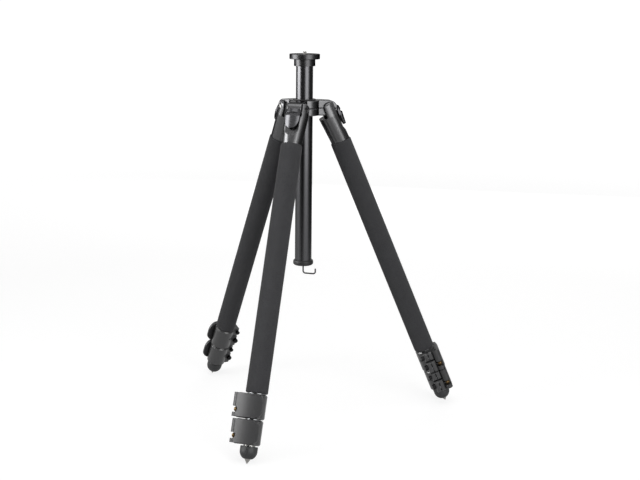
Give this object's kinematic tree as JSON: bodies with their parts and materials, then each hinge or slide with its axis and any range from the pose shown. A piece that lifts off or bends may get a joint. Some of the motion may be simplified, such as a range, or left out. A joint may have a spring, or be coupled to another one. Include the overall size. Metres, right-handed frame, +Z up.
{
  "type": "photo tripod",
  "caption": "Photo tripod with a cast shoulder, foam covered telescoping legs on quick cam locks, spiked rubber feet and a sliding centre column with a bare camera plate.",
  "frame": {"origin": "on the floor under the column axis, in the plane of the three spike tips", "axes": "+Z up along the centre column; the front leg points along -Y"},
  "size_m": [0.4751, 0.4198, 0.6083],
  "materials": {
    "cast_magnesium": "satin gunmetal over die-cast magnesium",
    "black_anodised": "black anodised drawn tube",
    "plate_metal": "dark anodised turned plate",
    "polished_tab": "polished grey metal",
    "steel": "turned steel",
    "wire_steel": "blackened bent wire",
    "leg_tube": "anodised drawn tube",
    "foam": "closed cell foam sleeve",
    "dark_steel": "blackened turned steel",
    "lock_body": "satin dark grey moulding",
    "lock_lever": "satin dark grey moulding",
    "brass": "turned brass",
    "nylon": "black nylon moulding",
    "knob_plastic": "black moulded knob",
    "foot_rubber": "moulded rubber"
  },
  "bodies": {
    "shoulder": {"hub_upper": "cast_magnesium", "hub_lower": "cast_magnesium", "hub_screws": "steel", "leg_pivot_pins": "steel", "column_bush": "nylon"},
    "column": {"column_tube": "black_anodised", "head_plate": "plate_metal", "head_screw": "steel", "column_end_plug": "nylon"},
    "column_lock": {"column_lock_knob": "knob_plastic", "column_lock_stud": "steel"},
    "hook": {"ballast_hook": "wire_steel"},
    "leg_1": {"leg_1_head": "cast_magnesium", "leg_1_angle_spring": "steel", "leg_1_upper_tube": "leg_tube", "leg_1_foam_grip": "foam", "leg_1_upper_collar": "lock_body", "leg_1_upper_fasteners": "dark_steel"},
    "leg_1_tab": {"leg_1_angle_tab": "polished_tab"},
    "leg_1_upper_lever": {"leg_1_upper_lever": "lock_lever"},
    "leg_1_middle": {"leg_1_middle_tube": "leg_tube", "leg_1_lower_collar": "lock_body", "leg_1_lower_fasteners": "dark_steel"},
    "leg_1_lower_lever": {"leg_1_lower_lever": "lock_lever"},
    "leg_1_lower": {"leg_1_lower_tube": "leg_tube", "leg_1_spike": "steel"},
    "leg_1_foot_thread": {"leg_1_foot_insert": "brass"},
    "leg_1_foot": {"leg_1_rubber_foot": "foot_rubber"},
    "leg_2": {"leg_2_head": "cast_magnesium", "leg_2_angle_spring": "steel", "leg_2_upper_tube": "leg_tube", "leg_2_foam_grip": "foam", "leg_2_upper_collar": "lock_body", "leg_2_upper_fasteners": "dark_steel"},
    "leg_2_tab": {"leg_2_angle_tab": "polished_tab"},
    "leg_2_upper_lever": {"leg_2_upper_lever": "lock_lever"},
    "leg_2_middle": {"leg_2_middle_tube": "leg_tube", "leg_2_lower_collar": "lock_body", "leg_2_lower_fasteners": "dark_steel"},
    "leg_2_lower_lever": {"leg_2_lower_lever": "lock_lever"},
    "leg_2_lower": {"leg_2_lower_tube": "leg_tube", "leg_2_spike": "steel"},
    "leg_2_foot_thread": {"leg_2_foot_insert": "brass"},
    "leg_2_foot": {"leg_2_rubber_foot": "foot_rubber"},
    "leg_3": {"leg_3_head": "cast_magnesium", "leg_3_angle_spring": "steel", "leg_3_upper_tube": "leg_tube", "leg_3_foam_grip": "foam", "leg_3_upper_collar": "lock_body", "leg_3_upper_fasteners": "dark_steel"},
    "leg_3_tab": {"leg_3_angle_tab": "polished_tab"},
    "leg_3_upper_lever": {"leg_3_upper_lever": "lock_lever"},
    "leg_3_middle": {"leg_3_middle_tube": "leg_tube", "leg_3_lower_collar": "lock_body", "leg_3_lower_fasteners": "dark_steel"},
    "leg_3_lower_lever": {"leg_3_lower_lever": "lock_lever"},
    "leg_3_lower": {"leg_3_lower_tube": "leg_tube", "leg_3_spike": "steel"},
    "leg_3_foot_thread": {"leg_3_foot_insert": "brass"},
    "leg_3_foot": {"leg_3_rubber_foot": "foot_rubber"}
  },
  "joints": [
    {"name": "column_slide", "type": "slide", "parent": "shoulder", "child": "column", "axis": [0, 0, 1], "range_m": [-0.0526, 0.2407]},
    {"name": "column_lock_turn", "type": "hinge", "parent": "shoulder", "child": "column_lock", "pos_m": [0, 0.034, 0.51733], "axis": [0, 1, 0], "range_deg": [0, 360]},
    {"name": "hook_swivel", "type": "hinge", "parent": "column", "child": "hook", "pos_m": [0, 0, 0.25503], "axis": [0, 0, 1], "continuous": true},
    {"name": "leg_1_spread", "type": "hinge", "parent": "shoulder", "child": "leg_1", "pos_m": [0, -0.0405, 0.51733], "axis": [-1, 0, 0], "range_deg": [-22, 57]},
    {"name": "leg_1_tab_pull", "type": "slide", "parent": "leg_1", "child": "leg_1_tab", "axis": [0, -0.9205, 0.3907], "range_m": [0, 0.006], "stiffness_N_per_m": 600, "springref_m": -0.004, "deforming": ["leg_1_angle_spring"]},
    {"name": "leg_1_upper_lever_swing", "type": "hinge", "parent": "leg_1", "child": "leg_1_upper_lever", "pos_m": [-0.02499, -0.23419, 0.08439], "axis": [0, -0.3907, -0.9205], "range_deg": [0, 110]},
    {"name": "leg_1_lower_lever_swing", "type": "hinge", "parent": "leg_1_middle", "child": "leg_1_lower_lever", "pos_m": [-0.02232, -0.24991, 0.04826], "axis": [0, -0.3907, -0.9205], "range_deg": [0, 110]},
    {"name": "leg_1_middle_slide", "type": "slide", "parent": "leg_1", "child": "leg_1_middle", "axis": [0, -0.3907, -0.9205], "range_m": [0, 0.35]},
    {"name": "leg_1_lower_slide", "type": "slide", "parent": "leg_1_middle", "child": "leg_1_lower", "axis": [0, -0.3907, -0.9205], "range_m": [0, 0.36]},
    {"name": "leg_1_foot_lift", "type": "slide", "parent": "leg_1_lower", "child": "leg_1_foot_thread", "axis": [0, -0.3907, -0.9205], "range_m": [0, 0.0064]},
    {"name": "leg_1_foot_turn", "type": "hinge", "parent": "leg_1_foot_thread", "child": "leg_1_foot", "pos_m": [0, -0.24728, 0.02455], "axis": [0, -0.3907, -0.9205], "range_deg": [0, 1536]},
    {"name": "leg_2_spread", "type": "hinge", "parent": "shoulder", "child": "leg_2", "pos_m": [0.03507, 0.02025, 0.51733], "axis": [0.5, -0.866, 0], "range_deg": [-22, 57]},
    {"name": "leg_2_tab_pull", "type": "slide", "parent": "leg_2", "child": "leg_2_tab", "axis": [0.7972, 0.4603, 0.3907], "range_m": [0, 0.006], "stiffness_N_per_m": 600, "springref_m": -0.004, "deforming": ["leg_2_angle_spring"]},
    {"name": "leg_2_upper_lever_swing", "type": "hinge", "parent": "leg_2", "child": "leg_2_upper_lever", "pos_m": [0.21531, 0.09545, 0.08439], "axis": [0.3384, 0.1954, -0.9205], "range_deg": [0, 110]},
    {"name": "leg_2_lower_lever_swing", "type": "hinge", "parent": "leg_2_middle", "child": "leg_2_lower_lever", "pos_m": [0.22759, 0.10563, 0.04826], "axis": [0.3384, 0.1954, -0.9205], "range_deg": [0, 110]},
    {"name": "leg_2_middle_slide", "type": "slide", "parent": "leg_2", "child": "leg_2_middle", "axis": [0.3384, 0.1954, -0.9205], "range_m": [0, 0.35]},
    {"name": "leg_2_lower_slide", "type": "slide", "parent": "leg_2_middle", "child": "leg_2_lower", "axis": [0.3384, 0.1954, -0.9205], "range_m": [0, 0.36]},
    {"name": "leg_2_foot_lift", "type": "slide", "parent": "leg_2_lower", "child": "leg_2_foot_thread", "axis": [0.3384, 0.1954, -0.9205], "range_m": [0, 0.0064]},
    {"name": "leg_2_foot_turn", "type": "hinge", "parent": "leg_2_foot_thread", "child": "leg_2_foot", "pos_m": [0.21415, 0.12364, 0.02455], "axis": [0.3384, 0.1954, -0.9205], "range_deg": [0, 1536]},
    {"name": "leg_3_spread", "type": "hinge", "parent": "shoulder", "child": "leg_3", "pos_m": [-0.03507, 0.02025, 0.51733], "axis": [0.5, 0.866, 0], "range_deg": [-22, 57]},
    {"name": "leg_3_tab_pull", "type": "slide", "parent": "leg_3", "child": "leg_3_tab", "axis": [-0.7972, 0.4603, 0.3907], "range_m": [0, 0.006], "stiffness_N_per_m": 600, "springref_m": -0.004, "deforming": ["leg_3_angle_spring"]},
    {"name": "leg_3_upper_lever_swing", "type": "hinge", "parent": "leg_3", "child": "leg_3_upper_lever", "pos_m": [-0.19032, 0.13874, 0.08439], "axis": [-0.3384, 0.1954, -0.9205], "range_deg": [0, 110]},
    {"name": "leg_3_lower_lever_swing", "type": "hinge", "parent": "leg_3_middle", "child": "leg_3_lower_lever", "pos_m": [-0.20527, 0.14428, 0.04826], "axis": [-0.3384, 0.1954, -0.9205], "range_deg": [0, 110]},
    {"name": "leg_3_middle_slide", "type": "slide", "parent": "leg_3", "child": "leg_3_middle", "axis": [-0.3384, 0.1954, -0.9205], "range_m": [0, 0.35]},
    {"name": "leg_3_lower_slide", "type": "slide", "parent": "leg_3_middle", "child": "leg_3_lower", "axis": [-0.3384, 0.1954, -0.9205], "range_m": [0, 0.36]},
    {"name": "leg_3_foot_lift", "type": "slide", "parent": "leg_3_lower", "child": "leg_3_foot_thread", "axis": [-0.3384, 0.1954, -0.9205], "range_m": [0, 0.0064]},
    {"name": "leg_3_foot_turn", "type": "hinge", "parent": "leg_3_foot_thread", "child": "leg_3_foot", "pos_m": [-0.21415, 0.12364, 0.02455], "axis": [-0.3384, 0.1954, -0.9205], "range_deg": [0, 1536]}
  ],
  "couplings": [
    {"joint": "leg_1_foot_turn", "follows": "leg_1_foot_lift", "rad_per_m": 4188.8},
    {"joint": "leg_2_foot_turn", "follows": "leg_2_foot_lift", "rad_per_m": 4188.8},
    {"joint": "leg_3_foot_turn", "follows": "leg_3_foot_lift", "rad_per_m": 4188.8}
  ]
}
